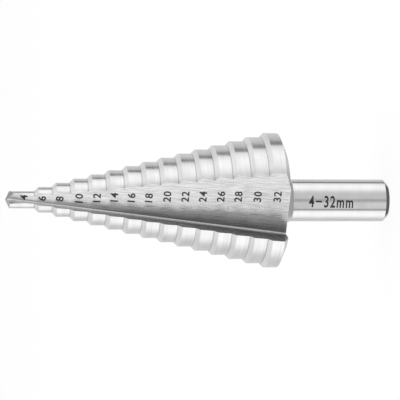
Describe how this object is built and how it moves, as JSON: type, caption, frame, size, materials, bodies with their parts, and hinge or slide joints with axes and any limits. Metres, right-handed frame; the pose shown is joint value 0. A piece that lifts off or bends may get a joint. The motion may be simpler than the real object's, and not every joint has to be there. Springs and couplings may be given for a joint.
{
  "type": "step drill",
  "caption": "Right-hand step drill for sheet metal: a stepped cone with two straight flutes, a drill point and a plain round shank.",
  "frame": {"origin": "centre of the shank's end face, which the drill stands on", "axes": "+Z along the drill's axis from the shank to the tip; -Y out of the first flute, beside its numbered face"},
  "size_m": [0.032, 0.0294, 0.0909],
  "materials": {
    "ground_steel": "bright ground and polished tool steel, with fine turning marks on the steps and grinding marks along the flutes"
  },
  "bodies": {
    "root": {"step_drill": "ground_steel"}
  },
  "joints": []
}
